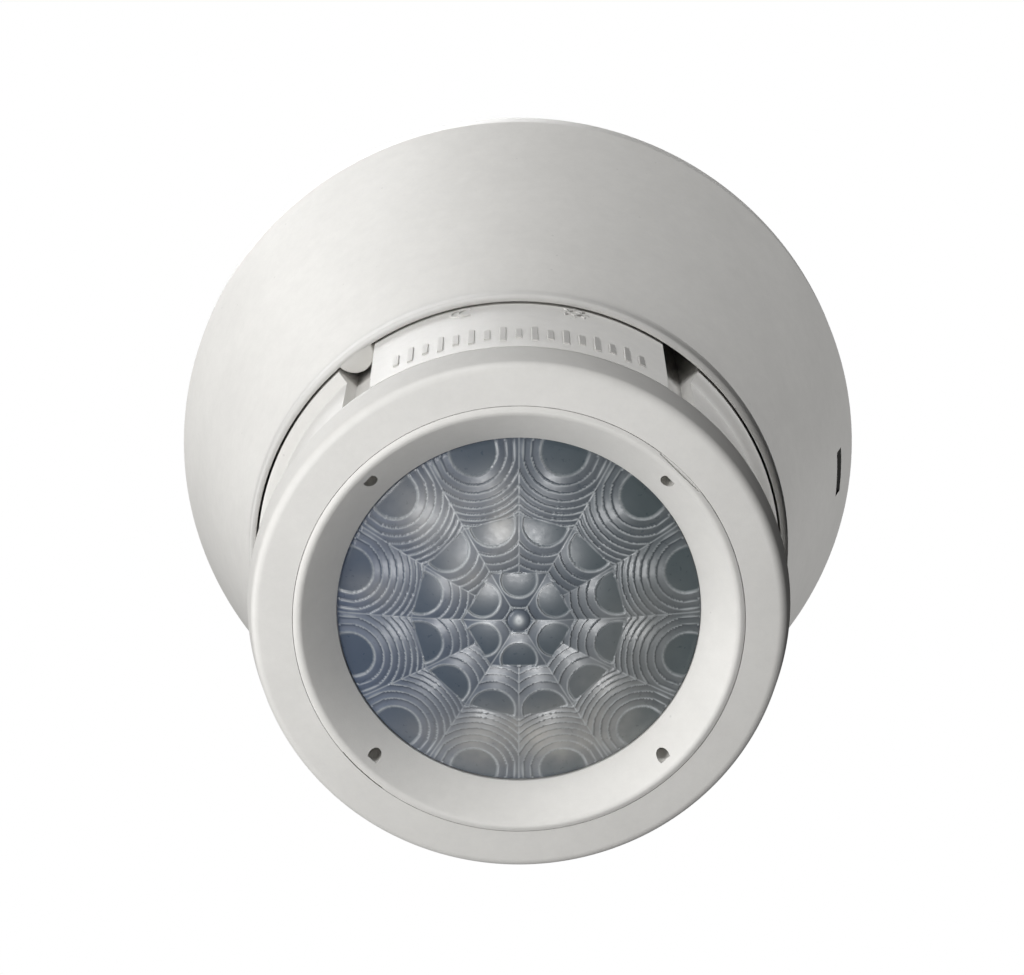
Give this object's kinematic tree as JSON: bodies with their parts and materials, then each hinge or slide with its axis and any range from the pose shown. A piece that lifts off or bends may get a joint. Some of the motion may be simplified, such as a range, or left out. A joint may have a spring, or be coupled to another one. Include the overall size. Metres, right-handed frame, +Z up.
{
  "type": "motion sensor",
  "caption": "Ceiling motion sensor: a round detector head with a domed segmented lens, held in a conical white surface shroud.",
  "frame": {"origin": "centre of the mounting plate's face against the ceiling, midway between the two ceiling screws", "axes": "+Z up into the ceiling, along the sensor's round axis; the raised front panel faces -Y; the release slot is on +X"},
  "size_m": [0.0914, 0.0914, 0.071],
  "materials": {
    "white_plastic": "fine satin moulded texture",
    "plate_plastic": "satin",
    "cover_plastic": "satin",
    "terminal_plastic": "satin",
    "lens_plastic": "translucent polyethylene, grooved",
    "circuit_board": "solder mask",
    "pillar_nylon": "satin",
    "sensor_can": "bright can",
    "sensor_window": "infrared filter",
    "clear_dome": "clear",
    "led_red": "clear red",
    "relay_blue": "satin",
    "film_yellow": "dipped",
    "capacitor_sleeve": "shrink sleeve",
    "varistor_blue": "epoxy",
    "trimmer_blue": "satin",
    "rotor_plastic": "satin",
    "clamp_brass": "bright",
    "screw_steel": "zinc plated",
    "brown_plastic": "satin",
    "blue_plastic": "satin",
    "orange_plastic": "satin"
  },
  "bodies": {
    "mount": {"mounting_plate": "plate_plastic", "shroud_clips": "plate_plastic", "latch_bracket": "plate_plastic"},
    "latch": {"release_latch": "plate_plastic"},
    "shroud": {"shroud": "white_plastic"},
    "head": {"head_housing": "white_plastic", "front_bezel": "white_plastic", "rear_cover": "cover_plastic", "cover_screws": "screw_steel", "main_board": "circuit_board", "board_pillars": "pillar_nylon", "sensor_board": "circuit_board", "pyro_sensor": "sensor_can", "pyro_window": "sensor_window", "light_sensor": "clear_dome", "status_led": "led_red", "relay": "relay_blue", "film_capacitor": "film_yellow", "electrolytic_capacitor": "capacitor_sleeve", "varistor": "varistor_blue", "trimmer_bases": "trimmer_blue", "terminal_block": "terminal_plastic", "terminal_clamps": "clamp_brass"},
    "lens": {"lens_ring": "white_plastic", "fresnel_lens": "lens_plastic", "lens_retainer": "cover_plastic"},
    "lux_trimmer": {"lux_trimmer": "rotor_plastic"},
    "time_trimmer": {"time_trimmer": "rotor_plastic"},
    "live_button": {"live_button": "brown_plastic"},
    "neutral_button": {"neutral_button": "blue_plastic"},
    "load_button": {"load_button": "orange_plastic"}
  },
  "joints": [
    {"name": "latch_press", "type": "slide", "parent": "mount", "child": "latch", "axis": [-1, 0, 0], "range_m": [0, 0.0012], "stiffness_N_per_m": 600},
    {"name": "shroud_pull", "type": "slide", "parent": "mount", "child": "shroud", "axis": [0, 0, -1], "range_m": [0, 0.03]},
    {"name": "head_pull", "type": "slide", "parent": "shroud", "child": "head", "axis": [0, 0, -1], "range_m": [0, 0.04]},
    {"name": "lens_ring_pull", "type": "slide", "parent": "head", "child": "lens", "axis": [0, 0, -1], "range_m": [0, 0.02]},
    {"name": "lux_turn", "type": "hinge", "parent": "head", "child": "lux_trimmer", "pos_m": [-0.00624, -0.02934, -0.04], "axis": [-0.2079, -0.9781, 0], "range_deg": [-135, 135]},
    {"name": "time_turn", "type": "hinge", "parent": "head", "child": "time_trimmer", "pos_m": [0.00624, -0.02934, -0.04], "axis": [0.2079, -0.9781, 0], "range_deg": [-135, 135]},
    {"name": "live_button_press", "type": "slide", "parent": "head", "child": "live_button", "axis": [0, 0, -1], "range_m": [0, 0.0012], "stiffness_N_per_m": 400},
    {"name": "neutral_button_press", "type": "slide", "parent": "head", "child": "neutral_button", "axis": [0, 0, -1], "range_m": [0, 0.0012], "stiffness_N_per_m": 400},
    {"name": "load_button_press", "type": "slide", "parent": "head", "child": "load_button", "axis": [0, 0, -1], "range_m": [0, 0.0012], "stiffness_N_per_m": 400}
  ]
}
